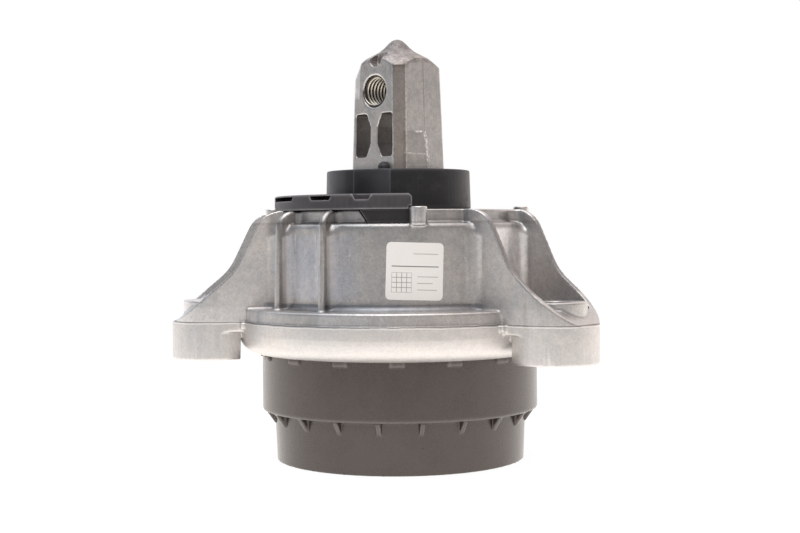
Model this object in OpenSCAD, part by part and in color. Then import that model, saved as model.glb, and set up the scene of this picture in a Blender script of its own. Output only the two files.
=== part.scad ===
// Hydraulic engine mount: a cast three-legged bracket over a moulded fluid cup, with a
// square core tower on a rubber spring. Millimetres, +Z up, origin at the middle of the
// cup's flat underside. Azimuths are degrees from -Y towards +X.

/* [Cup] */
// Radius of the cup's upper band
band_r = 52.5; // [52.4:0.1:52.6]
// Height at which the band ends at the bottom
band_z = 19.2; // [18.5:0.1:20]
// Radius of the cup's lower part at its top
cup_r = 47.9; // [47.5:0.1:48.2]
// Number of gussets under the band
gussets = 20; // [12:1:24]
// Number of lugs under the casting's lip
lugs = 16; // [8:1:18]

/* [Bracket casting] */
// Distance between the two front bolt holes
hole_spacing = 130; // [129:0.5:131]
// Azimuth of the right front leg, mirrored for the left one
leg_az = 67.5; // [67:0.5:68]
// Radius of the round foot ends
foot_r = 16; // [15.8:0.1:16.2]
// Height of the feet's underside
foot_z = 39.2; // [38.8:0.1:39.6]
// Height of the mould parting line
parting_z = 53.2; // [52.8:0.1:53.4]
// Height of the bolt bosses
boss_z = 61; // [60.5:0.1:61.5]
// Radius of the bolt bosses
boss_r = 11.8; // [11.5:0.1:12]
// Radius of the bolt holes
bolt_r = 5.25; // [5:0.05:5.5]
// Thickness of the leg's gusset plates
plate_t = 2.6; // [2.4:0.1:3]
// Radius of the flange ring
flange_r = 61.4; // [61:0.1:61.6]
// Height of the flange's upper ledge
ledge_z = 58.1; // [57.8:0.1:58.4]
// Height of the deck
deck_z = 94.2; // [94:0.1:94.4]
// Radius of the deck's rim, behind the shoulder
rim_r = 45; // [44.9:0.1:45.2]

/* [Core tower] */
// Azimuth that the tower's drilled face looks to
tower_az = -26.5; // [-28:0.5:-25]
// Distance from the axis to a face, at the collar
tower_half = 13.6; // [13.4:0.1:13.7]
// Draft of the tower's faces, in degrees
tower_draft = 1.45; // [1.3:0.05:1.5]
// Height of the tower's shoulders
shoulder_z = 149; // [148.8:0.1:149.2]
// Height of the tip
tip_z = 160; // [159.5:0.1:160.5]
// Radius of the threaded hole's wall
thread_r = 5.9; // [5.6:0.1:6]
// Depth of the threaded hole
thread_depth = 20; // [16:1:21]
// Height of the threaded hole's axis
thread_z = 139.4; // [139:0.1:139.8]

/* [Collar and cover] */
// Radius of the rubber collar at its top
collar_r = 27.4; // [27.2:0.1:27.6]
// Height of the collar's top
collar_z = 109.4; // [109.2:0.1:109.6]
// Height of the deck cover's top
cover_z = 99.8; // [99.6:0.1:100]

/* [Hidden] */
$fn = 96;

foot_s = hole_spacing / 2 / sin(leg_az);
leg_azs = [-leg_az, leg_az, 180];
pins = [[-66.5, 2.95, 95.1], [24.8, 3.15, 95.1], [113.5, 2.95, 95.6], [203.5, 2.95, 95.1]];
pin_at = 48;
front_ribs = [-38.7, -14.1];
rear_ribs = [133.8, 226.2];
rib_r = 54.2;
rib_t = 2.6;
rib_lean = 1.8;
wall_low = 49.9;
wall_top = 49.3;
wall_z = 87.4;
step_z = 89.4;

seat_r = 50;
lip_r = 52.7;
shelf_z = 56.2;

pocket_top = 130.9;
pocket_foot = 114.5;

// Points of an arc: centre c, radius r, from angle a to angle b, in n steps
function arc(c, r, a, b, n) =
    [for (i = [0 : n]) c + r * [cos(a + (b - a) * i / n), sin(a + (b - a) * i / n)]];

// Rounded rectangle w by h about the origin
function soft_box(w, h, r) = concat(
    arc([w / 2 - r, h / 2 - r], r, 0, 90, 5),
    arc([r - w / 2, h / 2 - r], r, 90, 180, 5),
    arc([r - w / 2, r - h / 2], r, 180, 270, 5),
    arc([w / 2 - r, r - h / 2], r, 270, 360, 5));

// Turns what is built along +X to an azimuth
module to_az(a) {
    rotate([0, 0, a - 90]) children();
}

// Wedge between two azimuths, up to 170 degrees wide
module sector(a, b, z, h) {
    translate([0, 0, z]) linear_extrude(h)
        polygon(concat([[0, 0]], arc([0, 0], 110, a - 90, b - 90, 6)));
}

// Prism from a profile in radius and height, w wide across the radius
module side_profile(pts, w) {
    translate([0, w / 2, 0]) rotate([90, 0, 0]) linear_extrude(w) polygon(pts);
}

// Concave fillet along +Z in a corner at the origin: one side is +X, the other at angle a
module fillet(r, a, h) {
    t = r / tan(a / 2);
    far = t * [cos(a), sin(a)];
    linear_extrude(h) polygon(concat([[-1, -0.6], [t, -0.6]],
        arc([t, r], r, 270, a + 90, 7), [far + 1.2 * [cos(a + 90), sin(a + 90)]]));
}

// Fillet of radius r between a round wall of radius w and the inner face of a leg's plate
module inner_fillet(w, r, z, h) {
    in_w = foot_r - plate_t;
    c = [sqrt(pow(w + r, 2) - pow(in_w - r, 2)), in_w - r];
    lean = atan2(c[1], c[0]);
    translate([0, 0, z]) linear_extrude(h) polygon(concat(arc(c, r, 180 + lean, 90, 9),
        [[c[0], in_w + 0.7], [w - 4, in_w + 0.7], (w - 4) * [cos(lean), sin(lean)]]));
}

// S-shaped side profile of a leg, from the wall down to the foot
leg_top = arc([45, deck_z - 11], 11, 90, 26, 8);
leg_low = arc([60.6 + 22 * sin(64), 76.1 + 22 * cos(64)], 22, 206, 230, 6);
leg_end = [leg_low[6][0] + (leg_low[6][1] - parting_z) / tan(40), parting_z];
leg_pts = concat([[30, parting_z], [30, deck_z]], leg_top, leg_low, [leg_end]);

module leg_wall() {
    intersection() {
        side_profile(leg_pts, 2 * foot_r);
        union() {
            translate([30, 0.15 - foot_r, 50]) cube([foot_s - 30, 2 * foot_r - 0.3, 60]);
            translate([foot_s, 0, 50]) cylinder(r = foot_r, h = 60);
        }
    }
}

// The left leg's rear plate stands further out than the others
module long_plate() {
    to_az(-leg_az) intersection() {
        translate([2.3, 0.2 - foot_r + plate_t / 2, 0]) side_profile(leg_pts, plate_t - 0.1);
        union() {
            translate([30, 0.15 - foot_r, 50]) cube([foot_s - 30, 10, 60]);
            translate([foot_s, 0, 50]) cylinder(r = foot_r, h = 60);
        }
    }
}

module leg_pocket() {
    in_w = foot_r - plate_t;
    translate([38, -in_w, ledge_z]) cube([foot_s - 38, 2 * in_w, 60]);
    translate([foot_s, 0, ledge_z]) cylinder(r = in_w + 0.1, h = 60);
}

module foot() {
    difference() {
        translate([foot_s, 0, foot_z]) cylinder(r = foot_r, h = parting_z - foot_z);
        translate([0, 0, foot_z - 1]) cylinder(r = 62, h = 49.6 - foot_z + 1);
    }
    translate([52, -foot_r + 0.15, 49.6]) cube([foot_s - 52, 2 * foot_r - 0.3, ledge_z - 49.6]);
    translate([foot_s, 0, 50]) cylinder(r = boss_r, h = boss_z - 50);
}

module rib(a) {
    top = deck_z - 7.3;
    in_r = rib_r - rib_t / 2;
    foot = in_r + (top - ledge_z + 2) * tan(rib_lean);
    to_az(a) {
        side_profile(concat([[40, ledge_z - 2], [40, top + 5.9]],
            arc([in_r - 5.9, top], 5.9, 90, 0, 8), [[foot, ledge_z - 2]]), rib_t);
        translate([in_r, 0, top]) rotate([0, 180 - rib_lean, 0])
            cylinder(r = rib_t / 2, h = top - ledge_z + 2);
        translate([in_r - 5.9, 0, top]) rotate([90, 0, 0])
            rotate_extrude(angle = 90) translate([5.9, 0]) circle(r = rib_t / 2, $fn = 32);
        translate([43, 0, top + 5.9]) rotate([0, 90, 0])
            cylinder(r = rib_t / 2, h = in_r - 48.9, $fn = 32);
        for (m = [0, 1]) mirror([0, m, 0]) {
            translate([wall_low - 0.1, rib_t / 2, ledge_z - 1]) fillet(3.6, 92, wall_z - ledge_z + 0.7);
            translate([rim_r - 0.1, rib_t / 2, 88.5]) fillet(2.6, 92, 5.2);
        }
    }
}

// Space right of a slanted plane, in the rim in front of the cover's skirt
module rim_notch(r0, r1, z0, shift, last) {
    intersection() {
        rotate_extrude($fn = 128) polygon([[r0, z0], [r1, z0], [r1, deck_z + 1], [r0, deck_z + 1]]);
        sector(-6, last, z0 - 1, 10);
        translate([0, -36, 91.85]) rotate([0, 0, -90]) translate([0, shift, 0]) rotate([34, 0, 0])
            translate([0, 0, -16]) cube([18, 30, 32]);
    }
}

module bell() {
    rotate_extrude($fn = 128) polygon(concat(
        [[20, 40.8], [54.2, 40.8]],
        arc([53.4, 48.8], 8, 278, 345, 7),
        [[flange_r, 48.6], [flange_r, parting_z], [flange_r - 0.5, parting_z + 0.1]],
        [[flange_r - 0.8, ledge_z - 0.8]], arc([flange_r - 1.6, ledge_z - 0.8], 0.8, 20, 90, 3),
        arc([wall_low + 2.8, ledge_z + 2.8], 2.8, 270, 180, 6),
        arc([wall_top - 2, wall_z], step_z - wall_z, 0, 90, 6),
        arc([rim_r + 1, step_z + 1], 1, 270, 180, 4),
        arc([rim_r - 0.5, deck_z - 0.5], 0.5, 0, 90, 3), [[20, deck_z]]));
}

module bell_cavity() {
    rotate_extrude($fn = 128) polygon([[0, 40], [lip_r, 40], [lip_r, 50], [seat_r, 50],
        [seat_r, shelf_z], [42, shelf_z], [42, 68], [44.4, 71], [44.2, 83], [39.4, 89], [23.5, 89.4],
        [23.5, deck_z + 1], [0, deck_z + 1]]);
}

module housing() {
    color([0.68, 0.67, 0.65]) difference() {
        union() {
            bell();
            for (a = leg_azs) to_az(a) {
                difference() {
                    leg_wall();
                    leg_pocket();
                }
                foot();
                wall_s = sqrt(pow(wall_low, 2) - pow(foot_r, 2));
                for (m = [0, 1]) mirror([0, m, 0]) translate([wall_s, foot_r - 0.15, ledge_z - 1])
                    fillet(4.5, 90 + asin(foot_r / wall_low), wall_z - ledge_z + 0.7);
                intersection() {
                    side_profile(leg_pts, 2 * foot_r);
                    for (m = [0, 1]) mirror([0, m, 0]) {
                        inner_fillet(wall_low - 0.3, 4, ledge_z - 1, wall_z - ledge_z + 0.7);
                        inner_fillet(rim_r - 0.1, 4, 88, deck_z - 88.2);
                    }
                }
            }
            long_plate();
            for (a = concat(front_ribs, rear_ribs)) rib(a);
            for (p = pins) to_az(p[0])
                translate([pin_at, 0, 88.5]) cylinder(r = p[1], h = p[2] - 88.5, $fn = 40);
            for (a = [-53.4, 53.4]) to_az(a)
                translate([flange_r - 2, -2.5, 50.8]) cube([3.5, 5, 2.3]);
        }
        bell_cavity();
        difference() {
            rim_notch(43.1, 47, step_z, 0, 24.8);
            to_az(pins[1][0]) translate([pin_at, 0, 80]) cylinder(r = pins[1][1], h = 20, $fn = 40);
        }
        for (a = leg_azs) to_az(a)
            translate([foot_s, 0, foot_z - 1]) cylinder(r = bolt_r, h = 30, $fn = 48);
    }
}

// Straight block with drafted faces: half-width d at height z0, azimuth of a face at 0
module drafted(d, z0, h, turn) {
    tilt = tower_draft * (turn == 0 ? 1 : 1.45);
    intersection_for (i = [0 : 3]) rotate([0, 0, 90 * i + turn])
        translate([d, 0, z0]) rotate([0, -tilt, 0])
            translate([-80, -60, z0 > 100 ? -40 : -1]) cube([80, 120, h + 60]);
}

module tower_block() {
    intersection() {
        drafted(tower_half, 113.7, 60, 0);
        drafted(tower_half * sqrt(2) - 1.87, 113.7, 60, 45);
        rotate_extrude() polygon([[0, 91], [30, 91], [30, 140], [17.2, 147.6],
            [15.9, shoulder_z], [12.3, 152.2], [9.8, 153.5], [6.7, 155.2], [4.9, 156.7],
            [3.4, 158.3], [2, tip_z - 0.5], [0.8, tip_z - 0.05], [0, tip_z]]);
        rotate([0, 0, -45]) translate([16.6, -40, 143.6]) rotate([0, -22, 0])
            translate([-80, 0, -90]) cube([80, 80, 150]);
        front_groove_left();
    }
}

// All but the shallow groove along the tower's front corner, which ends below the cap
module front_groove_left() {
    difference() {
        translate([-40, -40, 90]) cube([80, 80, 80]);
        rotate([0, 0, 45]) translate([tower_half * sqrt(2) - 2.22, -20, 113.7])
            rotate([0, -1.45 * tower_draft, 0]) difference() {
                translate([0, 0, -30]) cube([20, 40, 65.6]);
                translate([-1, 0, 35.6]) rotate([0, 50, 0]) cube([8, 40, 8]);
            }
    }
}

module core_foot() {
    rotate_extrude() polygon([[0, 60], [7, 60], [10, 62], [17, 78], [19, 84], [19, 90.5],
        [17.5, 93], [0, 93]]);
}

module tower_pocket() {
    half = [pocket_top - pocket_foot, 0] / 2;
    translate([0, 0, (pocket_top + pocket_foot) / 2]) rotate([90, 0, 90])
        linear_extrude(9) polygon([[4.4, half[0]], [8.7, half[0]], [9.4, half[0] - 0.8],
            [9.5, 0.8 - half[0]], [8.8, -half[0]], [4.4, -half[0]], [3.8, 0.5 - half[0]],
            [1.8, -3.2], [1.8, 3.2], [3.8, half[0] - 0.5]]);
}

module core() {
    color([0.62, 0.62, 0.6]) difference() {
        union() {
            to_az(tower_az) tower_block();
            core_foot();
        }
        to_az(tower_az) {
            translate([tower_half - 0.7 - thread_depth, 0, thread_z]) rotate([0, 90, 0])
                cylinder(r = thread_r, h = thread_depth + 5, $fn = 48);
            translate([tower_half - 1.17, 0, thread_z]) rotate([0, 90, 0])
                cylinder(r1 = thread_r, r2 = thread_r + 0.9, h = 0.9, $fn = 48);
            translate([8, 0.3, 151.8]) rotate([0, 90, 0]) cylinder(r = 3.15, h = 8, $fn = 40);
            for (m = [0, 1]) mirror([0, m, 0]) translate([4.8, 0, 0]) tower_pocket();
        }
    }
}

module stop_collar() {
    color([0.13, 0.12, 0.13]) difference() {
        union() {
            rotate_extrude($fn = 128) polygon(concat([[0, deck_z + 0.3], [27.3, deck_z + 0.3],
                [collar_r + 0.4, deck_z + 0.9], [collar_r + 0.02, collar_z - 0.5]],
                arc([collar_r - 0.5, collar_z - 0.5], 0.5, 0, 90, 4), [[0, collar_z]]));
            to_az(tower_az) translate([14.2, 5.9, collar_z + 0.8]) sphere(r = 2.35, $fn = 40);
        }
        to_az(tower_az) tower_block();
        to_az(-4.7) translate([26.75, -7, deck_z]) cube([5, 14, 20]);
    }
}

module main_spring() {
    color([0.1, 0.1, 0.1]) rotate_extrude($fn = 128) polygon([[10, 62], [17, 78], [19, 84],
        [21, 84.4], [23.6, 82.4], [31, 72.6], [36, 67.4], [38.6, 66], [40.4, 54.6],
        [37.8, 54.2], [33, 56.6], [27, 60.2], [21, 61.6], [15, 60.6], [11.4, 60.6]]);
}

module spring_ring() {
    color([0.5, 0.5, 0.48]) rotate_extrude($fn = 128) polygon([[38.6, 66], [40, 66.8],
        [42, 66.2], [42, shelf_z], [seat_r - 0.1, shelf_z], [seat_r - 0.1, 53.4],
        [40.4, 53.4], [40.4, 54.6]]);
}

// Gap in the cover's outer edge between two azimuths, with sloped ends, up to a height
module crenel(a, b, r, top) {
    half = 46 * tan((b - a) / 2);
    low = cover_z - 2.1;
    grow = 1.8 * (top - low) / 3.1;
    to_az((a + b) / 2) translate([r, 0, 0]) rotate([90, 0, 90]) linear_extrude(12)
        polygon([[-half + 1, low], [half - 1, low], [half - 1 + grow, top], [1 - half - grow, top]]);
}

module deck_cover() {
    color([0.2, 0.19, 0.2]) difference() {
        union() {
            intersection() {
                rotate_extrude($fn = 128) polygon([[29.6, deck_z], [31.6, deck_z],
                    [31.6, cover_z - 2.6], [43.4, cover_z - 2.6], [43.4, deck_z],
                    [47.5, deck_z], [47.4, cover_z - 0.4], [47, cover_z], [29.6, cover_z]]);
                sector(-68.5, 22.3, deck_z - 1, 10);
            }
            rim_notch(43.3, 44.8, step_z + 0.1, 0.25, 24.3);
            for (a = [-52, -35, -18, -1, 16]) to_az(a)
                translate([31, -0.8, deck_z]) cube([13, 1.6, 4]);
            for (a = [-67.9, 21.7]) intersection() {
                to_az(a) translate([30.5, -0.8, deck_z]) cube([14, 1.6, 4]);
                sector(-68.5, 22.3, deck_z - 1, 10);
            }
        }
        crenel(-66, -38, 40.5, cover_z - 0.6);
        crenel(-26.5, -13.8, 40.5, cover_z - 0.6);
        crenel(-3.8, 4.7, 43.6, cover_z + 1);
        for (end = [[-68.5, -0.85], [22.3, 0.85]]) to_az(end[0])
            translate([40, end[1], cover_z + 0.85]) rotate([45, 0, 0])
                cube([24, 4, 4], center = true);
        for (i = [0, 1]) to_az(pins[i][0])
            translate([pin_at, 0, 80]) cylinder(r = pins[i][1] + 0.3, h = 15.4, $fn = 40);
    }
}

module channel_holes(z, h) {
    translate([0, 0, z]) cylinder(r = 4, h = h, $fn = 40);
    for (i = [0 : 5]) rotate([0, 0, 60 * i]) translate([14, 0, z])
        cylinder(r = 4, h = h, $fn = 40);
}

module channel_top() {
    color([0.55, 0.56, 0.56]) difference() {
        translate([0, 0, 48.6]) cylinder(r = seat_r - 0.1, h = 4.8, $fn = 128);
        translate([0, 0, 48.5]) cylinder(r = 24.2, h = 1.8);
        channel_holes(48, 8);
        to_az(20) translate([35, 0, 48]) cylinder(r = 3.5, h = 8, $fn = 40);
    }
}

module channel_bottom() {
    color([0.5, 0.51, 0.51]) difference() {
        translate([0, 0, 43.8]) cylinder(r = seat_r - 0.1, h = 4.8, $fn = 128);
        translate([0, 0, 46.8]) cylinder(r = 24.2, h = 3);
        channel_holes(43, 8);
        difference() {
            rotate_extrude($fn = 128) polygon([[30, 45], [40, 45], [40, 49], [30, 49]]);
            sector(-12, 12, 44, 6);
        }
        to_az(-20) translate([35, 0, 43]) cylinder(r = 3.5, h = 4, $fn = 40);
    }
}

module decoupler() {
    color([0.15, 0.15, 0.15]) rotate_extrude($fn = 96) polygon([[0, 47.6], [20, 47.6],
        [20.6, 46.8], [24, 46.8], [24, 50.3], [20.6, 50.3], [20, 49.5], [0, 49.5]]);
}

module bellows() {
    color([0.12, 0.12, 0.12]) rotate_extrude($fn = 96) polygon(concat(
        [[49.8, 43.8], [49.8, 41.8], [45.6, 41.8]],
        [[44, 40.2], [43.6, 29]], arc([39.4, 26], 4.2, 0, -180, 8),
        [[33.2, 32], [30, 34.6], [0, 34.6], [0, 36.4], [31, 36.4], [35, 33]],
        arc([39.4, 26], 2.4, 180, 360, 8), [[41.8, 29], [42.2, 41], [44.6, 43.8]]));
}

module clamp_ring() {
    color([0.45, 0.45, 0.43]) rotate_extrude($fn = 128) polygon([[45.8, 35.5], [47, 35.5],
        [47, 39.6], [49.8, 39.6], [49.8, 41.8], [45.8, 41.8]]);
}

module base_cup() {
    color([0.25, 0.23, 0.22]) {
        rotate_extrude($fn = 160) polygon(concat([[0, 0], [46.5, 0]],
            arc([46.4, 0.7], 0.7, 290, 360, 4), [[cup_r, band_z - 0.6]],
            [[cup_r + 0.5, band_z], [band_r - 0.9, band_z]],
            arc([band_r - 0.8, band_z + 0.8], 0.8, 290, 360, 3),
            [[band_r, 49.8], [seat_r, 49.8], [seat_r, 39.6], [49, 39.6], [49, 23],
            [47, 21.5], [45, 18], [44, 3.2], [43, 2.6], [0, 2.6]]));
        for (i = [0 : gussets - 1]) to_az(7.5 + 360 / gussets * i)
            side_profile([[46, 13.6], [cup_r - 0.2, 13.6], [band_r - 0.1, band_z + 1.2],
                [46, band_z + 1.2]], 1.9);
        for (i = [0 : lugs - 1]) to_az(15.5 + 360 / lugs * i)
            translate([51.5, -2.75, 38.9]) cube([1.9, 5.5, 1.9]);
    }
}

module label() {
    k = (wall_top - wall_low) / (wall_z - ledge_z - 2.8);
    color([0.92, 0.9, 0.87]) intersection() {
        rotate_extrude($fn = 128) polygon([for (p = [[0, 61], [0.3, 61], [0.3, 84], [0, 84]])
            [wall_low + p[0] + k * (p[1] - ledge_z - 2.8), p[1]]]);
        to_az(22.9) translate([30, 0, 72.3]) rotate([90, 0, 90]) rotate([0, 0, -2])
            linear_extrude(20) polygon(soft_box(20.2, 20.2, 1.6));
    }
}

housing();
core();
stop_collar();
main_spring();
spring_ring();
deck_cover();
channel_top();
channel_bottom();
decoupler();
bellows();
clamp_ring();
base_cup();
label();
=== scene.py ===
from math import cos, pi, radians, sin, sqrt, tan

import bpy
import numpy as np
from mathutils import Matrix, Vector, kdtree


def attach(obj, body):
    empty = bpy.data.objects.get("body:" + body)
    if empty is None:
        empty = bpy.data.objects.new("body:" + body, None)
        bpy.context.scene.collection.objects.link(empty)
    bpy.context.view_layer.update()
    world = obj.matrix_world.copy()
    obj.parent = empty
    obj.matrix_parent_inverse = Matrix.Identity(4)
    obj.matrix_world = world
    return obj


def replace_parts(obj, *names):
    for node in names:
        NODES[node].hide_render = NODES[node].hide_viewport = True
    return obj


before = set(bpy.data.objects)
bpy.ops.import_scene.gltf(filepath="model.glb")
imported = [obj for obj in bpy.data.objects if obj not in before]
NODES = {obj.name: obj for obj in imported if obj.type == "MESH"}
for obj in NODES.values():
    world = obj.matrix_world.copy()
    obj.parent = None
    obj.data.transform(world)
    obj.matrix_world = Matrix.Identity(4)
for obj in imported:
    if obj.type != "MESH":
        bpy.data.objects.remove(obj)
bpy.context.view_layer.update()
scene = bpy.context.scene
MM = 0.001

# Sizes shared with the part's source, in millimetres and degrees
LEG_AZIMUTHS = (-67.5, 67.5, 180.0)
PARTING_Z = 53.2
LEDGE_Z = 58.1
STEP_Z = 89.4
DECK_Z = 94.2
FRONT_RIBS = (-38.7, -14.1)
REAR_RIBS = (133.8, 226.2)
BAND_R = 52.5
BAND_Z = 19.2
CUP_R = 47.9
CUP_WALL = ((0.7, 47.1), (BAND_Z - 0.6, CUP_R), (BAND_Z + 0.8, BAND_R), (50, BAND_R))
TOWER_AZIMUTH = -26.5
TOWER_HALF = 13.6
TOWER_DRAFT = 1.45
TOWER_FOOT_Z = 113.7
THREAD_Z = 139.4
THREAD_R = 5.9
THREAD_PITCH = 1.75
LABEL_AZIMUTH = 22.9
LABEL_R = 49
LABEL_Z = 72.3
LABEL_TURN = -2.0

# Places that follow from them
RIB_MIDDLE = sum(FRONT_RIBS) / 2
TOWER_CORNER = TOWER_AZIMUTH + 45
TOWER_SIDE = TOWER_AZIMUTH + 90


def outward(azimuth):
    """Unit vector that looks away from the axis at an azimuth, as in the part's source."""
    a = radians(azimuth)
    return Vector((sin(a), -cos(a), 0))


def sideways(azimuth):
    """Unit vector along the surface at an azimuth, towards higher azimuths."""
    a = radians(azimuth)
    return Vector((cos(a), sin(a), 0))


# Camera

PHOTO_WIDTH = 800
SENSOR_WIDTH = 36
FOCUS_PX = 1403
SHIFT_PX = (1.3, -36.5)
EYE_AZIMUTH = 16.5
EYE_DISTANCE = 0.540
EYE_HEIGHT = 0.0868
EYE_ROLL = -0.0085


def set_camera():
    data = bpy.data.cameras.new("view")
    data.sensor_width = SENSOR_WIDTH
    data.lens = SENSOR_WIDTH * FOCUS_PX / PHOTO_WIDTH
    data.shift_x, data.shift_y = (px / PHOTO_WIDTH for px in SHIFT_PX)
    data.clip_start, data.clip_end = 0.02, 40
    eye = bpy.data.objects.new("view", data)
    place = outward(EYE_AZIMUTH) * EYE_DISTANCE + Vector((0, 0, EYE_HEIGHT))
    eye.matrix_world = (Matrix.Translation(place)
                        @ Matrix.Rotation(radians(EYE_AZIMUTH), 4, "Z")
                        @ Matrix.Rotation(pi / 2, 4, "X")
                        @ Matrix.Rotation(EYE_ROLL, 4, "Z"))
    scene.collection.objects.link(eye)
    scene.camera = eye


# Shader writing


class Num:
    """One output of a shader node. Python's operators on it add Math nodes."""

    def __init__(self, finish, socket):
        self.finish, self.socket = finish, socket

    def __add__(self, other):
        return self.finish.maths("ADD", self, other)

    def __radd__(self, other):
        return self.finish.maths("ADD", other, self)

    def __sub__(self, other):
        return self.finish.maths("SUBTRACT", self, other)

    def __rsub__(self, other):
        return self.finish.maths("SUBTRACT", other, self)

    def __mul__(self, other):
        return self.finish.maths("MULTIPLY", self, other)

    def __rmul__(self, other):
        return self.finish.maths("MULTIPLY", other, self)


class Finish:
    """A material or world being written, with one method that adds any node."""

    def __init__(self, holder):
        holder.use_nodes = True
        self.holder = holder
        self.tree = holder.node_tree
        self.tree.nodes.clear()

    def node(self, kind, settings=None, sockets=None, out=0):
        made = self.tree.nodes.new("ShaderNode" + kind)
        for name, value in (settings or {}).items():
            setattr(made, name, value)
        for name, value in (sockets or {}).items():
            if isinstance(value, Num):
                self.tree.links.new(value.socket, made.inputs[name])
            else:
                made.inputs[name].default_value = value
        return Num(self, made.outputs[out]) if len(made.outputs) else None

    def outputs(self, made, names):
        """Several outputs of the node that one output belongs to."""
        return [Num(self, made.socket.node.outputs[name]) for name in names]

    def maths(self, operation, *values):
        return self.node("Math", {"operation": operation}, dict(enumerate(values)))

    def most(self, first, *others):
        for other in others:
            first = self.maths("MAXIMUM", first, other)
        return first

    def size(self, value):
        return self.maths("ABSOLUTE", value)

    def vector(self, operation, *values, out=0):
        return self.node("VectorMath", {"operation": operation}, dict(enumerate(values)), out)

    def scaled(self, vector, factors):
        return self.vector("MULTIPLY", vector, factors)

    def along(self, point, direction):
        """Distance of a point along a direction."""
        return self.vector("DOT_PRODUCT", point, tuple(direction), out="Value")

    def off_axis(self, point):
        """Distance of a point from the part's upright axis."""
        return self.vector("LENGTH", self.scaled(point, (1, 1, 0)), out="Value")

    def parts(self, vector):
        return self.outputs(self.node("SeparateXYZ", None, {0: vector}), range(3))

    def point(self):
        """Place on the object in millimetres, in the row's frame."""
        place = self.node("TexCoord", out="Object")
        return self.scaled(place, (1 / MM, 1 / MM, 1 / MM))

    def rise(self, value, low, high):
        """Smooth step from 0 at low to 1 at high."""
        return self.node("MapRange", {"interpolation_type": "SMOOTHSTEP"},
                         {"Value": value, "From Min": low, "From Max": high})

    def fall(self, value, low, high):
        """Smooth step from 1 at low to 0 at high."""
        return 1 - self.rise(value, low, high)

    def between(self, value, low, high, soft):
        """1 between two values, fading over soft on either side of each."""
        return (self.rise(value, low - soft, low + soft)
                * self.fall(value, high - soft, high + soft))

    def line(self, value, at, half, soft):
        """1 within half of a value, fading over soft."""
        return self.fall(self.size(value - at), half, half + soft)

    def grain(self, vector, size, detail, rough, warp=0.0):
        """Noise from 0 to 1 with blotches of a size in millimetres."""
        return self.node("TexNoise", {"noise_dimensions": "3D"},
                         {"Vector": vector, "Scale": 1 / size, "Detail": detail,
                          "Roughness": rough, "Distortion": warp}, "Fac")

    def cells(self, vector, size):
        """Distance to the nearest of some scattered points, in cells of a size."""
        return self.node("TexVoronoi", {"feature": "F1"},
                         {"Vector": vector, "Scale": 1 / size}, "Distance")

    def attribute(self, name):
        return self.node("Attribute", {"attribute_name": name}, None, "Fac")

    def mix(self, amount, first, second, blend="MIX"):
        """Mix of two colours, whose sockets are 6 and 7 on the node, with output 2."""
        return self.node("Mix", {"data_type": "RGBA", "blend_type": blend, "clamp_factor": True},
                         {0: amount, 6: self.rgba(first), 7: self.rgba(second)}, 2)

    def toned(self, colour, factor, where=1.0):
        """The colour times a factor, or one for each channel, where a mask is 1."""
        factors = factor if isinstance(factor, tuple) else (factor, factor, factor)
        return self.mix(where, colour, factors, "MULTIPLY")

    @staticmethod
    def rgba(colour):
        return colour if isinstance(colour, Num) else (*colour, 1)

    def bump(self, height, depth):
        """Normal from a height of 0 to 1 that stands for a depth in millimetres."""
        return self.node("Bump", None, {"Height": height, "Distance": depth * MM, "Strength": 1.0})

    def surface(self, colour, rough, metal, normal, **constants):
        sockets = {"Base Color": self.rgba(colour), "Roughness": rough, "Metallic": metal,
                   "Normal": normal}
        sockets.update({name.replace("_", " "): value for name, value in constants.items()})
        self.output(self.node("BsdfPrincipled", None, sockets))
        return self.holder

    def output(self, shader):
        kind = "World" if isinstance(self.holder, bpy.types.World) else "Material"
        self.node("Output" + kind, None, {"Surface": shader})


def new_finish(name):
    return Finish(bpy.data.materials.new(name))


# Finishes

CAST_WARM = (0.69, 0.655, 0.635)
HOLLOW_SHADE_TONE = (0.22, 0.205, 0.195)
EDGE_HIGHLIGHT_TONE = (0.88, 0.86, 0.84)
CAST_DEPTH = 0.055
BRACKET_COOL = (0.58, 0.582, 0.59)
FILLET_HIGHLIGHT = (0.86, 0.8, 0.77)
SAND_DARK = (0.84, 0.8, 0.765)
SAND_LIGHT = (1.0, 0.965, 0.93)
SEAM_TONE = (0.17, 0.15, 0.14)
LIP_TONE = (0.97, 0.95, 0.92)
LEDGE_SHADE = (0.22, 0.2, 0.19)
SCRATCH_TONE = (0.93, 0.92, 0.9)
TOWER_COOL = (0.585, 0.58, 0.575)
FLASH_TONE = (0.95, 0.93, 0.91)
CAP_DARK = (0.33, 0.308, 0.302)
CAP_LIGHT = (0.56, 0.52, 0.51)


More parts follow.
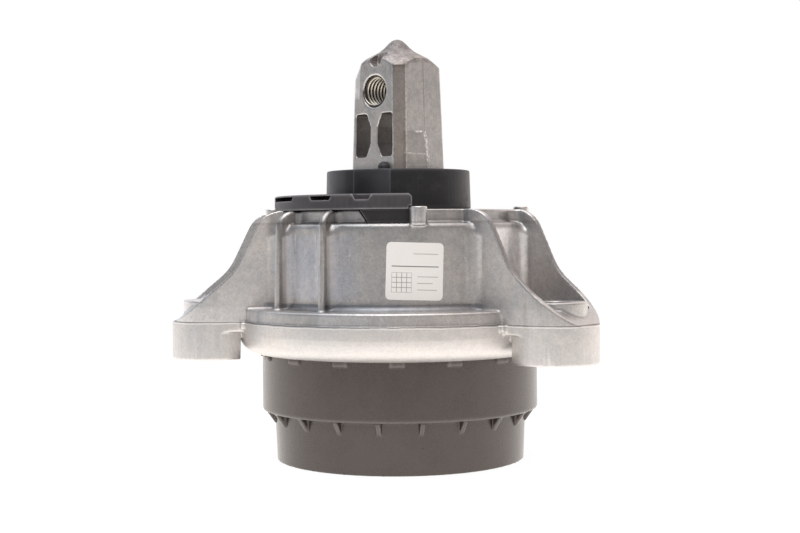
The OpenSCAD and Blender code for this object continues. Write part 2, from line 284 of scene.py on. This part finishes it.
def cast_colour(f, p, cool, edge_highlight, hollow_shade):
    """Mottled tone of a pressure casting, with painted highlights on its edges and painted shade in
    its hollows.

    Gives its colour, roughness, height for a bump, and flow marks.
    """
    cloud = f.grain(p, 24, 3, 0.55)
    patch = f.grain(p, 7, 4, 0.6, 0.6)
    blot = f.grain(p, 2.4, 4, 0.7)
    dimple = f.grain(p, 1.9, 3, 0.55)
    speck = f.grain(p, 0.55, 3, 0.7)
    pit = f.rise(f.cells(p, 1.5), 0.0, 0.35)
    flow = f.grain(f.scaled(p, (1, 1, 0.16)), 1.6, 3, 0.6)
    edge = f.attribute("edge")
    tone = cloud * 0.5 + patch * 0.35 + flow * 0.15
    colour = f.mix(f.rise(tone, 0.36, 0.64), cool, CAST_WARM)
    colour = f.mix(f.rise(speck, 0.3, 0.75) * 0.5, f.toned(colour, 0.76), f.toned(colour, 1.16))
    colour = f.mix(f.rise(blot, 0.3, 0.7), f.toned(colour, 0.9), f.toned(colour, 1.07))
    # Painted shade in hollows and painted highlights on edges, from how the surface bends
    colour = f.mix(f.attribute("hollow") * hollow_shade, colour, HOLLOW_SHADE_TONE)
    colour = f.mix(edge * edge_highlight, colour, EDGE_HIGHLIGHT_TONE)
    rough = 0.34 + speck * 0.14 - edge * 0.08 + (patch - 0.5) * 0.14
    height = speck * 0.5 + dimple * 0.8 + pit * 0.18
    return colour, rough, height, flow


def scratches(f, p):
    """Fine light handling scratches that run roughly upwards."""
    sway = f.node("TexNoise", None, {"Vector": p, "Scale": 1 / 9}, "Color")
    bent = f.vector("ADD", p, f.scaled(sway, (5, 5, 5)))
    thin = f.grain(f.scaled(bent, (1.2, 1.2, 0.35)), 1.0, 1, 0.4)
    where = f.rise(f.grain(p, 8, 2, 0.5), 0.5, 0.66)
    return f.line(thin, 0.5, 0.003, 0.006) * where


# Places on the bracket: the wall's upper end, half of the width that the front ribs take up,
# the inside of the pins, and the flange's outside, beyond which only legs stand
WALL_TOP_Z = 85
RIBS_HALF = 16
PINS_R = 47.2
FLANGE_R = 58.5


def bracket_places(f, p):
    """Masks of the places on the bracket that have a tone of their own, most of them painted light or
    shade, by name.
    """
    x, _, z = f.parts(p)
    radius = f.off_axis(p)
    upright = f.between(z, LEDGE_Z + 4, WALL_TOP_Z, 1)
    by_ribs = f.line(f.along(p, sideways(RIB_MIDDLE)), 0, RIBS_HALF - 1, 2)
    before = f.rise(f.along(p, outward(RIB_MIDDLE)), 30, 34)
    low = f.fall(z, LEDGE_Z, LEDGE_Z + 1.5)
    outer = f.rise(radius, FLANGE_R, FLANGE_R + 2.5)
    foot = outer * f.fall(z, PARTING_Z - 0.3, PARTING_Z + 0.3)
    above = f.rise(radius, 51.5, 54) * (1 - low)
    lean = f.parts(f.node("TexCoord", out="Normal"))[2]
    sloping = f.rise(lean, 0.15, 0.35) * f.fall(lean, 0.92, 0.96)
    return {
        "upright": upright,
        "foot": foot,
        "rim": low * (1 - outer * 0.8),
        "leg": f.most(above, outer - foot) * (1 - by_ribs),
        "left": f.fall(x, -40, 40),
        "fillet": f.attribute("hollow") * upright * by_ribs,
        "shade_over_ledge": f.line(z, LEDGE_Z + 1.3, 0.8, 0.6) * f.fall(radius, 52, 56),
        "pins": f.rise(z, STEP_Z + 0.2, STEP_Z + 0.8) * f.rise(radius, PINS_R, PINS_R + 0.6),
        "lit_behind_leg": f.rise(x, 38, 43) * f.fall(radius, 51, 53) * f.fall(z, 86.5, 88),
        "rib_flank_shade": f.rise(radius, 50.9, 51.7) * f.fall(radius, 53.6, 54.0) * before * by_ribs,
        "deck_rim_shade": f.rise(z, STEP_Z - 0.9, STEP_Z + 0.1) * f.fall(z, DECK_Z - 0.6, DECK_Z - 0.2),
        "crest": sloping * f.rise(radius, 52, 54) * f.between(z, 64, 92, 1),
        "bluish": f.fall(x, -6, 4) * f.fall(radius, 50.5, 52) * upright,
        "ledge_line_shade": f.line(z, LEDGE_Z - 0.5, 0.07, 0.12) * f.between(radius, 51, 57.5, 0.5),
    }


def bracket_finish():
    """Cast aluminium bracket: grainier legs and lower rim with painted light on them, painted shade
    and highlights on the wall, and a parting line.
    """
    f = new_finish("cast_skin")
    p = f.point()
    at = bracket_places(f, p)
    colour, rough, height, flow = cast_colour(
        f, p, BRACKET_COOL, 0.4, (1 - at["upright"]) * 0.45)
    # Painted highlight in the fillets beside the front ribs
    colour = f.mix(at["fillet"] * 0.8, colour, FILLET_HIGHLIGHT)
    # Painted shade over the ledge and on the rib flanks, and painted light on the pins, on the wall
    # behind the right leg and on the lower rim
    for place, factor in (("shade_over_ledge", (0.6, 0.62, 0.66)), ("pins", 1.32), ("lit_behind_leg", 1.7),
                          ("rib_flank_shade", 0.72), ("rim", 1.4)):
        colour = f.toned(colour, factor, at[place])
    # Painted light on the legs, strongest on the left leg
    lit_leg_colour = f.mix(at["left"], f.toned(colour, 1.08), f.toned(colour, 1.36))
    colour = f.mix(at["leg"], colour, lit_leg_colour)
    # Painted shade on the band under the deck and on the sloping crests, and a cool tint on the left
    # of the wall
    for place, factor in (("deck_rim_shade", 0.9), ("crest", (0.55, 0.54, 0.55)),
                          ("bluish", (0.95, 0.985, 1.06))):
        colour = f.toned(colour, factor, at[place])

    # Parting line, with sandy metal below it
    wander = (f.grain(p, 6, 2, 0.5) - 0.5) * 0.5
    below = PARTING_Z + wander - f.parts(p)[2]
    cream = f.rise(below, 0.0, 0.5)
    sandy = f.grain(p, 0.8, 3, 0.75)
    seam = f.line(below, -0.12, 0.1, 0.14)
    lip = f.line(below, 0.3, 0.1, 0.2)
    sand = f.mix(f.rise(sandy, 0.35, 0.7), SAND_DARK, SAND_LIGHT)
    colour = f.mix(cream * (0.7 - at["foot"] * 0.4), colour, sand)
    colour = f.mix(seam * 0.8, colour, SEAM_TONE)
    colour = f.mix(lip * 0.75, colour, LIP_TONE)
    # Painted shade in a thin line along the ledge
    colour = f.mix(at["ledge_line_shade"] * 0.35, colour, LEDGE_SHADE)
    colour = f.mix(scratches(f, p) * 0.5, colour, SCRATCH_TONE)
    height = height + flow * 0.3 + cream * sandy * 0.7 - seam * 1.6 + lip
    metal = 1 - f.most(cream * (0.4 - at["foot"] * 0.3), at["rim"] * 0.15)
    return f.surface(colour, rough + cream * 0.08, metal, f.bump(height, CAST_DEPTH))


# Heights on the tower: where the flash turns to the corner, the bars of flash below, the top
# of the right face, and the feet of the cap and of the broken tip
FLASH_TURN_Z = 124
FLASH_BARS_Z = (115.6, 111.2)
FACE_TOP_Z = 151
CAP_Z = 148.8
TIP_Z = 153.5


def tower_flash(f, p, half):
    """Ragged flash on the tower's right face, over a step in the metal.

    Gives masks of the flash, of the darker metal beside it, of the step and of the line above
    the flash, and how ragged the metal is at each point.
    """
    z = f.parts(p)[2]
    right = f.along(p, sideways(TOWER_SIDE))
    on_face = f.rise(f.along(p, outward(TOWER_SIDE)) - half, -0.9, -0.4)
    on_face = on_face * f.fall(z, FACE_TOP_Z, FACE_TOP_Z + 2)
    ragged = (f.grain(p, 2.0, 4, 0.75) - 0.5) * 2.4
    drift = f.fall(z, 112.5, FLASH_TURN_Z) * 1.3 + 0.75 + ragged
    below = f.fall(z, FLASH_TURN_Z - 0.2, FLASH_TURN_Z + 0.2)
    beside = f.fall(right - drift, -0.1, 0.1)
    upright = f.line(right - drift, 0, 0.3, 0.7) * below
    across = f.line(z + ragged * 0.7, FLASH_TURN_Z, 0.2, 0.3) * f.line(right, -2.0, 2.4, 0.5)
    bars = f.most(f.line(z + ragged * 0.3, FLASH_BARS_Z[0], 0.08, 0.3),
                  f.line(z, FLASH_BARS_Z[1], 0.1, 0.25) * 0.6)
    flash = f.most(upright, across, bars * beside * 0.5) * on_face
    flash = flash * f.rise(f.grain(p, 0.9, 2, 0.6), 0.38, 0.56)
    inside = below * beside * on_face
    step = f.rise(right, 0.55, 0.8) * f.rise(z, FLASH_TURN_Z, FLASH_TURN_Z + 16) * on_face
    above = f.line(right, 0.5, 0.1, 0.2) * (1 - below) * on_face
    return flash, inside, step, above, ragged


def tower_finish():
    """Cast aluminium core: warm corner groove with painted shade at its top, a painted highlight on
    the left front corner, painted shade on the broken tip, mottled cap and a ragged flash line.
    """
    f = new_finish("tower_skin")
    p = f.point()
    z = f.parts(p)[2]
    half = TOWER_HALF - (z - TOWER_FOOT_Z) * tan(radians(TOWER_DRAFT))
    out = f.along(p, outward(TOWER_CORNER))
    beside = f.size(f.along(p, sideways(TOWER_CORNER)))
    groove = f.rise(out - half * sqrt(2), -3.4, -2.6) * f.fall(beside, 2.1, 2.6)
    colour, rough, height, flow = cast_colour(f, p, TOWER_COOL, 0.4 - groove * 0.4, 0.5)

    flash, inside, step, above, ragged = tower_flash(f, p, half)
    colour = f.toned(colour, 0.8, inside)
    colour = f.mix(above * 0.4, colour, (0.3, 0.28, 0.26))
    colour = f.mix(flash * 0.8, colour, FLASH_TONE)
    # Warm tint along the corner groove, and painted shade at its top end
    colour = f.toned(colour, (0.92, 0.86, 0.82), groove)
    colour = f.toned(colour, 0.66, groove * f.rise(z, 145, 148))

    ridge = f.line(beside, 2.5, 0.1, 0.25) * f.rise(out, 10, 12) * f.fall(z, 147, 149)
    ridge = ridge * f.rise(f.grain(p, 1.3, 3, 0.7), 0.35, 0.6)
    colour = f.mix(ridge * 0.7, colour, FLASH_TONE)
    # Painted highlight on the upper part of the tower's left front corner
    shoulder = f.fall(f.along(p, sideways(TOWER_AZIMUTH)) + half, 5.0, 5.6)
    shoulder = shoulder * f.rise(f.along(p, outward(TOWER_AZIMUTH)), 5, 8) * f.rise(z, 136, 138)
    colour = f.toned(colour, 1.6, shoulder)

    cap = f.rise(z + ragged, CAP_Z, CAP_Z + 1.8)
    blotch = f.rise(f.grain(p, 2.6, 4, 0.7), 0.35, 0.65)
    colour = f.mix(cap, colour, f.mix(blotch, CAP_DARK, CAP_LIGHT))
    # Painted shade on the broken tip
    colour = f.toned(colour, 0.72, f.rise(z, TIP_Z, TIP_Z + 2.5))
    crack = f.line(f.grain(p, 3.2, 4, 0.75), 0.5, 0.004, 0.008)
    crack = crack * f.rise(f.grain(p, 6, 1, 0.5), 0.52, 0.6)
    colour = f.mix(crack * 0.5, colour, (0.2, 0.18, 0.17))
    height = height + flow * 0.9 + flash * 2.2 + step * 1.6 + cap * blotch * 0.8
    return f.surface(colour, rough + cap * 0.12, 1.0, f.bump(height, CAST_DEPTH))


COLLAR_SEAMS = (-20.2, 10.1)
COLLAR_FACET = -5


def moulded_rubber():
    """Collar's rubber: two mould seams, a flat facet between them with painted sheen, painted
    highlights on its edges and a dusty bloom.
    """
    f = new_finish("moulded_rubber")
    p = f.point()

    def facing(azimuth):
        return f.rise(f.along(p, outward(azimuth)), 20, 22)

    dust = f.grain(p, 5, 4, 0.65)
    fine = f.grain(p, 0.5, 2, 0.6)
    bloom = f.rise(dust, 0.45, 0.75)
    seam = f.most(*(f.line(f.along(p, sideways(a)), 0, 0.1, 0.25) * facing(a)
                    for a in COLLAR_SEAMS))
    right = f.along(p, sideways(COLLAR_FACET)) + (dust - 0.5) * 3
    facet = f.between(right, -7.2, 7.2, 0.4) * facing(COLLAR_FACET)
    colour = f.mix(bloom * 0.5, (0.012, 0.012, 0.014), (0.034, 0.033, 0.036))
    # Painted highlights on the edges, and painted sheen on the facet, lighter to its right, and on
    # the rubber left of it
    colour = f.mix(f.attribute("edge") * 0.5, colour, (0.09, 0.088, 0.095))
    colour = f.mix(facet * f.rise(right, -5, 6) * 0.8, colour, (0.05, 0.049, 0.056))
    colour = f.mix(f.fall(right, -13, -10) * 0.6, colour, (0.045, 0.044, 0.05))
    colour = f.mix(seam * 0.35, colour, (0.12, 0.118, 0.13))
    rough = 0.34 + bloom * 0.16 + fine * 0.08
    return f.surface(colour, rough, 0.0, f.bump(fine * 0.6 + dust * 1.6 + seam * 1.5, 0.03),
                     Specular_IOR_Level=0.45)


def cover_plastic():
    """Fine-grained black plastic with painted highlights on its edges, and painted shade where it
    hangs below the deck.
    """
    f = new_finish("cover_plastic")
    p = f.point()
    fine = f.grain(p, 0.35, 3, 0.6)
    cloud = f.grain(p, 9, 3, 0.5)
    skirt_shade = f.fall(f.parts(p)[2], DECK_Z - 0.7, DECK_Z - 0.2)
    colour = f.mix(f.rise(cloud, 0.3, 0.7), (0.034, 0.031, 0.034), (0.05, 0.045, 0.049))
    # Painted highlights on the edges, and painted shade on the skirt below the deck
    colour = f.mix(f.attribute("edge") * 0.75, colour, (0.3, 0.29, 0.3))
    colour = f.toned(colour, 0.55, skirt_shade)
    return f.surface(colour, 0.42 + fine * 0.14, 0.0, f.bump(fine, 0.03), Specular_IOR_Level=0.5)


# Heights on the cup: the feet of its gussets, and the ends of its lugs
GUSSET_Z = 13.0
LUG_Z = 38.4


def cup_plastic():
    """Glass-filled plastic: dark warm grey with fibres that lie round the cup, and painted highlights
    on the edges of its gussets and lugs.
    """
    f = new_finish("cup_plastic")
    p = f.point()
    z = f.parts(p)[2]
    fibre = f.grain(f.scaled(p, (1, 1, 2.6)), 0.8, 3, 0.65)
    cloud = f.grain(p, 14, 4, 0.6)
    fine = f.grain(p, 0.4, 2, 0.6)
    plain_band = f.rise(z, BAND_Z + 0.6, BAND_Z + 1.2) * f.fall(z, LUG_Z - 0.2, LUG_Z + 0.2)
    small_forms = (1 - plain_band) * f.rise(z, GUSSET_Z - 0.5, GUSSET_Z + 0.5)
    colour = f.mix(f.rise(cloud, 0.3, 0.7), (0.034, 0.025, 0.0215), (0.048, 0.037, 0.032))
    colour = f.mix(f.rise(fibre, 0.5, 0.85) * 0.4, colour, (0.17, 0.155, 0.145))
    # Painted highlights on the edges of the gussets and lugs
    colour = f.mix(f.attribute("edge") * small_forms * 0.5, colour, (0.28, 0.255, 0.24))
    rough = 0.23 + fine * 0.1 + (cloud - 0.5) * 0.08
    return f.surface(colour, rough, 0.0, f.bump(fibre * 0.7 + fine * 0.5, 0.03),
                     Specular_IOR_Level=0.8, Specular_Tint=(1.0, 0.93, 0.9, 1.0))


# Print on the label, in millimetres from its middle.
# Each rule has its left end, right end, foot, height and strength of ink.
LABEL_RULES = ((-8.2, 8.4, 1.5, 0.35, 1.0), (-0.6, 8.2, 6.0, 0.22, 0.75),
               (0.9, 8.3, -2.0, 0.22, 0.75), (0.9, 6.4, -4.3, 0.22, 0.75),
               (0.9, 8.0, -6.6, 0.22, 0.75))
GRID_LEFT, GRID_RIGHT, GRID_FOOT, GRID_TOP = -8.1, -1.1, -7.5, -0.5
GRID_STEP = (GRID_RIGHT - GRID_LEFT) / 4
PRINT_SOFT = 0.08


def label_paper():
    """Printed film label: plain ruled lines and an empty grid."""
    f = new_finish("label_paper")
    p = f.point()
    middle = outward(LABEL_AZIMUTH) * LABEL_R + Vector((0, 0, LABEL_Z))
    across, up = sideways(LABEL_AZIMUTH), Vector((0, 0, 1))
    c, s = cos(radians(-LABEL_TURN)), sin(radians(-LABEL_TURN))
    from_middle = f.vector("SUBTRACT", p, tuple(middle))
    u = f.along(from_middle, across * c - up * s)
    v = f.along(from_middle, across * s + up * c)

    def bar(left, right, foot, top):
        return f.between(u, left, right, PRINT_SOFT) * f.between(v, foot, top, PRINT_SOFT)

    def ruled(value):
        return f.line(f.maths("PINGPONG", value, GRID_STEP / 2), 0, 0.07, PRINT_SOFT)

    rules = f.most(*(bar(left, right, foot, foot + height) * strength
                     for left, right, foot, height, strength in LABEL_RULES))
    grid = bar(GRID_LEFT, GRID_RIGHT, GRID_FOOT, GRID_TOP)
    grid = grid * f.most(ruled(u - GRID_LEFT), ruled(v - GRID_FOOT)) * 0.8
    fibre = f.grain(p, 0.5, 3, 0.6)
    paper = f.mix(fibre, (0.75, 0.72, 0.68), (0.8, 0.775, 0.74))
    ink = f.most(rules, grid) * (0.75 + fibre * 0.2)
    colour = f.mix(ink, paper, (0.05, 0.048, 0.048))
    return f.surface(colour, 0.42 + fibre * 0.1, 0.0, f.bump(fibre, 0.012), Specular_IOR_Level=0.4)


def thread_metal():
    """Cut thread: bright crests with a yellow tint, and roots painted dark as shade."""
    f = new_finish("thread_metal")
    fine = f.grain(f.point(), 0.3, 2, 0.6)
    crest = f.rise(f.attribute("crest"), 0.45, 0.95)
    # Roots painted near black as shade; the crests keep the bright metal tone
    colour = f.mix(crest, (0.07, 0.06, 0.05), (0.88, 0.82, 0.72))
    return f.surface(colour, 0.3 + fine * 0.12, 1.0, f.bump(fine, 0.01))


def turned_metal(name, low, high):
    """Metal between two tones, with fine rings round the part's axis."""
    f = new_finish(name)
    p = f.point()
    turned = f.node("CombineXYZ", None, {0: f.off_axis(p), 1: f.parts(p)[2], 2: 0.0})
    rings = f.grain(turned, 0.35, 2, 0.6)
    cloud = f.grain(p, 12, 3, 0.5)
    colour = f.mix(f.rise(cloud, 0.3, 0.7), low, high)
    return f.surface(colour, 0.3 + rings * 0.2, 1.0, f.bump(rings, 0.012))


def inner_rubber():
    """Dull black rubber of the parts inside."""
    f = new_finish("inner_rubber")
    p = f.point()
    fine = f.grain(p, 0.9, 3, 0.6)
    cloud = f.grain(p, 8, 3, 0.5)
    colour = f.mix(cloud, (0.014, 0.014, 0.015), (0.03, 0.03, 0.032))
    return f.surface(colour, 0.55 + fine * 0.15, 0.0, f.bump(fine, 0.03))


# Pieces


def link(piece, finish):
    """Puts a piece on the fixed body and gives it its finish."""
    piece.data.materials.clear()
    piece.data.materials.append(finish)
    scene.collection.objects.link(piece)
    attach(piece, "root")
    return piece


def evaluated(mesh, build):
    """The mesh that a stack of modifiers gives, where build adds the modifiers."""
    holder = bpy.data.objects.new("work", mesh)
    scene.collection.objects.link(holder)
    build(holder.modifiers)
    graph = bpy.context.evaluated_depsgraph_get()
    made = bpy.data.meshes.new_from_object(holder.evaluated_get(graph))
    bpy.data.objects.remove(holder)
    return made


def points_of(mesh):
    places = np.empty(len(mesh.vertices) * 3, np.float32)
    mesh.vertices.foreach_get("co", places)
    return places.reshape(-1, 3).astype(float)


def move_points(mesh, places):
    mesh.vertices.foreach_set("co", places.astype(np.float32).ravel())
    mesh.update()


def edge_ends(mesh):
    """The points at the two ends of every edge, as two lists."""
    ends = np.empty(len(mesh.edges) * 2, np.int32)
    mesh.edges.foreach_get("vertices", ends)
    return ends.reshape(-1, 2).T


def neighbour_means(mesh):
    """A function that gives, for values at the points, the mean over each point's neighbours."""
    a, b = edge_ends(mesh)
    total = len(mesh.vertices)
    count = np.maximum(np.bincount(a, minlength=total) + np.bincount(b, minlength=total), 1)

    def means(values):
        return np.stack([np.bincount(a, values[b, i], total) + np.bincount(b, values[a, i], total)
                         for i in range(values.shape[1])], 1) / count[:, None]

    return means


# Rounds of evening out for the bends that the finishes use
BEND_ROUNDS = 3


def bending(mesh):
    """How strongly the surface bends at each point: above 0 on edges, below 0 in hollows."""
    places = points_of(mesh)
    normals = np.empty(len(places) * 3, np.float32)
    mesh.vertices.foreach_get("normal", normals)
    normals = normals.reshape(-1, 3)
    means = neighbour_means(mesh)
    lean = means(places) - places
    a, b = edge_ends(mesh)
    length = np.linalg.norm(places[a] - places[b], axis=1).mean()
    bend = -(lean * normals).sum(1) / length
    for _ in range(BEND_ROUNDS):
        bend = 0.5 * bend + 0.5 * means(bend[:, None])[:, 0]
    return bend


def ramp(values, low, high):
    """Straight step from 0 at low to 1 at high, or the other way where low is the higher."""
    return np.clip((values - low) / (high - low), 0, 1)


# Rounds and step of a softening
SOFT_ROUNDS = 16
SOFT_STEP = 0.8


def softened(points, means, share):
    """Points drawn towards their neighbours, by a share of 0 to 1 at each point."""
    for _ in range(SOFT_ROUNDS):
        points = points + SOFT_STEP * share[:, None] * (means(points) - points)
    return points


# Fillets on the bracket: the degrees that they reach to either side of a rib and a leg, the
# ring in which they end, and the radius at which a raised end meets the shoulder
RIB_REACH = 9
LEG_REACH = 24
ENDS_R = (48.2, 53.8)
ENDS_Z = (84.2, 89.1)
SHOULDER_R = 50.6


def fillet_ends(points, means):
    """Runs the flat tops of the fillets beside ribs and legs into the shoulder."""
    x, y, z = points.T
    radius = np.hypot(x, y)
    azimuth = np.degrees(np.arctan2(x, -y))
    share = np.zeros(len(points))
    for middles, reach in ((FRONT_RIBS + REAR_RIBS, RIB_REACH), (LEG_AZIMUTHS, LEG_REACH)):
        for middle in middles:
            away = np.abs((azimuth - middle + 180) % 360 - 180)
            share = np.maximum(share, ramp(away, reach, reach - 2))
    share *= ramp(radius, ENDS_R[0], ENDS_R[0] + 0.6) * ramp(radius, ENDS_R[1], ENDS_R[1] - 0.6)
    share *= ramp(z, ENDS_Z[0], ENDS_Z[0] + 1) * ramp(z, ENDS_Z[1], ENDS_Z[1] - 0.8)
    raised = points.copy()
    raised[:, 2] += share * np.clip(SHOULDER_R - radius, -2.4, 1.2) * 0.7
    return softened(raised, means, share)


def groove_end(points, means):
    """Runs the groove along the tower's front corner out into the cap."""
    across = np.abs(points @ np.array(sideways(TOWER_CORNER)))
    out = points @ np.array(outward(TOWER_CORNER))
    z = points[:, 2]
    share = ramp(across, 4.4, 2.9) * ramp(out, 11, 12) * ramp(z, 145, 147) * ramp(z, 156, 154)
    return softened(points, means, share)


# How far a point may be from a wall to count as part of it, and from the band's lower edge
# to stay rounded
WALL_REACH = 0.45
BAND_EDGE = 0.9


def true_walls(points):
    """Sets the cup's walls back on their exact radii, which a voxel grid only comes near."""
    radius = np.hypot(points[:, 0], points[:, 1])
    exact = np.interp(points[:, 2], *zip(*CUP_WALL))
    near = np.abs(radius - exact) < WALL_REACH
    near &= np.abs(points[:, 2] - BAND_Z) > BAND_EDGE
    factor = np.where(near, exact / np.maximum(radius, 1), 1)
    return points * np.stack([factor, factor, np.ones(len(points))], 1)


# Bends that count as a full edge and a full hollow, and the gap in metres that is welded
EDGE_BEND = 0.12
HOLLOW_BEND = 0.16
WELD_GAP = 1e-6


def mark_bends(mesh, dense, bend):
    """Writes the bends at a dense mesh's points onto the nearest points of a reduced one."""
    tree = kdtree.KDTree(len(dense))
    for i, place in enumerate(dense):
        tree.insert(place, i)
    tree.balance()
    bend = bend[[tree.find(v.co)[1] for v in mesh.vertices]]
    for name, value in (("edge", bend / EDGE_BEND), ("hollow", -bend / HOLLOW_BEND)):
        layer = mesh.attributes.new(name, "FLOAT", "POINT")
        layer.data.foreach_set("value", np.clip(value, 0, 1).astype(np.float32))


def rounded(node, name, finish, grid, passes, triangles, shape=None, walls=None):
    """A cast or moulded copy of a CAD solid with its edges rounded, which stands for the solid.

    shape moves the dense points, and walls those of the mesh reduced to a number of triangles.
    """

    def fine(modifiers):
        weld = modifiers.new("weld", "WELD")
        weld.merge_threshold = WELD_GAP
        remesh = modifiers.new("remesh", "REMESH")
        remesh.mode = "VOXEL"
        remesh.voxel_size = grid * MM
        smooth = modifiers.new("smooth", "SMOOTH")
        smooth.factor = 0.5
        smooth.iterations = passes

    def fewer(modifiers):
        full = 2 * len(close.polygons)
        if full > triangles:
            decimate = modifiers.new("decimate", "DECIMATE")
            decimate.ratio = triangles / full

    close = evaluated(NODES[node].data.copy(), fine)
    if shape is not None:
        move_points(close, shape(points_of(close) / MM, neighbour_means(close)) * MM)
    mesh = evaluated(close, fewer)
    if walls is not None:
        move_points(mesh, walls(points_of(mesh) / MM) * MM)
    mesh.name = name
    mesh.shade_smooth()
    mark_bends(mesh, points_of(close), bending(close))
    piece = bpy.data.objects.new(name, mesh)
    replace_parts(link(piece, finish), node)


# Thread: where its turns start and end along the bore, and the corners of their section,
# each with its place along the bore, its radius and 1 on the crest
THREAD_SPAN = (-6.4, 12.45)
THREAD_STEPS = 56
ROOT_R = THREAD_R + 0.06
CREST_R = THREAD_R - 0.9
THREAD_SECTION = ((-0.82, ROOT_R, 0), (-0.12, CREST_R, 1), (0.12, CREST_R, 1), (0.82, ROOT_R, 0))


def thread_turns():
    """The turns of the tower's thread, one closed helical ridge inside the bore."""
    start, end = THREAD_SPAN
    count = int((end - start) / THREAD_PITCH * THREAD_STEPS)
    axis, side, up = outward(TOWER_AZIMUTH), sideways(TOWER_AZIMUTH), Vector((0, 0, 1))
    places, crest, faces = [], [], []
    for i in range(count + 1):
        turned = i / THREAD_STEPS
        left = (count - i) / THREAD_STEPS
        a = 2 * pi * turned + pi / 2
        fade = min(1, left / 0.25, turned / 0.3 + 0.05)
        out = side * -cos(a) + up * sin(a)
        for offset, radius, top in THREAD_SECTION:
            r = ROOT_R - (ROOT_R - radius) * fade
            ahead = start + THREAD_PITCH * turned + offset * (0.4 + 0.6 * fade)
            places.append((axis * ahead + out * r + up * THREAD_Z) * MM)
            crest.append(top)
    wide = len(THREAD_SECTION)
    for i in range(count):
        for k in range(wide):
            n = (k + 1) % wide
            faces.append((i * wide + k, i * wide + n, (i + 1) * wide + n, (i + 1) * wide + k))
    faces.append(tuple(range(wide - 1, -1, -1)))
    faces.append(tuple(count * wide + k for k in range(wide)))
    mesh = bpy.data.meshes.new("thread_turns")
    mesh.from_pydata(places, [], faces)
    layer = mesh.attributes.new("crest", "FLOAT", "POINT")
    layer.data.foreach_set("value", np.array(crest, np.float32))
    link(bpy.data.objects.new("thread_turns", mesh), thread_metal())


# Studio

ROOM_DIM = 0.66
ROOM_COOL = (0.88, 0.91, 0.96)
ROOM_WARM = (1.05, 0.97, 0.93)
GLOW_FAR = (0.48, 0.46, 0.44)
GLOW_NEAR = (1.62, 1.55, 1.48)
FLOOR_WHITE = (1.06, 1.06, 1.06)
FLOOR_HALF = 6.0
FLOOR_DROP = 0.0002
AIM_HEIGHT = 0.08


def room():
    """White room: open behind the part, dimmer beside and in front, warm right and cool left."""
    world = bpy.data.worlds.new("studio")
    scene.world = world
    f = Finish(world)
    x, y, z = f.parts(f.node("TexCoord", out="Generated"))
    camera = f.node("LightPath", out="Is Camera Ray")
    front, right = outward(EYE_AZIMUTH), sideways(EYE_AZIMUTH)
    toward = x * front.x + y * front.y
    across = x * right.x + y * right.y
    level = 1 - f.rise(toward, -0.55, 0.1) * f.fall(z, 0.5, 0.9) * ROOM_DIM
    tint = f.mix(f.rise(across, -0.5, 0.3), ROOM_COOL, ROOM_WARM)
    lit = f.scaled(tint, f.node("CombineXYZ", None, {0: level, 1: level, 2: level}))
    white = f.mix(camera, lit, (1, 1, 1))
    f.output(f.node("Background", None, {"Color": white, "Strength": 1.0}))


def white_floor():
    """Floor that is white to look at and in reflections, and plain where it takes light."""
    f = new_finish("floor")
    camera, glossy, through = f.outputs(
        f.node("LightPath"), ("Is Camera Ray", "Is Glossy Ray", "Is Transmission Ray"))
    near = f.fall(f.along(f.point(), outward(EYE_AZIMUTH)), 150, 650)
    glow = f.mix(camera, f.mix(near, GLOW_FAR, GLOW_NEAR), FLOOR_WHITE)
    pale = f.node("BsdfDiffuse", None, {"Color": (0.86, 0.86, 0.86, 1)})
    shine = f.node("Emission", None, {"Color": glow, "Strength": 1.0})
    f.output(f.node("MixShader", None, {0: f.most(camera, glossy, through) * 0.9, 1: pale, 2: shine}))
    mesh = bpy.data.meshes.new("floor")
    corners = [(-1, -1), (1, -1), (1, 1), (-1, 1)]
    mesh.from_pydata([(x * FLOOR_HALF, y * FLOOR_HALF, 0) for x, y in corners], [], [(0, 1, 2, 3)])
    mesh.materials.append(f.holder)
    floor = bpy.data.objects.new("floor", mesh)
    floor.location.z = -FLOOR_DROP
    scene.collection.objects.link(floor)


def lamp(name, azimuth, height, distance, size, power, mirrored=True):
    """Square soft lamp that looks at the middle of the part, seen in reflections or not."""
    data = bpy.data.lights.new(name, "AREA")
    data.shape, data.size, data.energy = "SQUARE", size, power
    place = outward(azimuth) * distance + Vector((0, 0, height))
    aim = Vector((0, 0, AIM_HEIGHT)) - place
    light = bpy.data.objects.new(name, data)
    light.matrix_world = Matrix.Translation(place) @ aim.to_track_quat("-Z", "Y").to_matrix().to_4x4()
    light.visible_glossy = mirrored
    scene.collection.objects.link(light)


set_camera()
room()
white_floor()
lamp("top", EYE_AZIMUTH - 20, height=1.3, distance=0.35, size=0.9, power=4)
lamp("fill", EYE_AZIMUTH, height=0.5, distance=1.1, size=0.9, power=5, mirrored=False)

rounded("housing", "bracket", bracket_finish(),
        grid=0.42, passes=3, triangles=195000, shape=fillet_ends)
rounded("core", "tower", tower_finish(),
        grid=0.35, passes=3, triangles=120000, shape=groove_end)
rounded("stop_collar", "collar", moulded_rubber(),
        grid=0.4, passes=2, triangles=60000)
rounded("deck_cover", "deck_arm", cover_plastic(),
        grid=0.22, passes=2, triangles=90000)
rounded("base_cup", "cup", cup_plastic(),
        grid=0.45, passes=2, triangles=195000, walls=true_walls)
thread_turns()

steel = turned_metal("phosphated_steel", (0.3, 0.3, 0.3), (0.4, 0.4, 0.4))
plate = turned_metal("machined_plate", (0.62, 0.62, 0.62), (0.72, 0.72, 0.72))
soft = inner_rubber()
for name, finish in (("main_spring", soft), ("decoupler", soft), ("bellows", soft),
                     ("spring_ring", steel), ("clamp_ring", steel),
                     ("channel_top", plate), ("channel_bottom", plate),
                     ("label", label_paper())):
    NODES[name].data.materials.clear()
    NODES[name].data.materials.append(finish)

scene.view_settings.view_transform = "Standard"
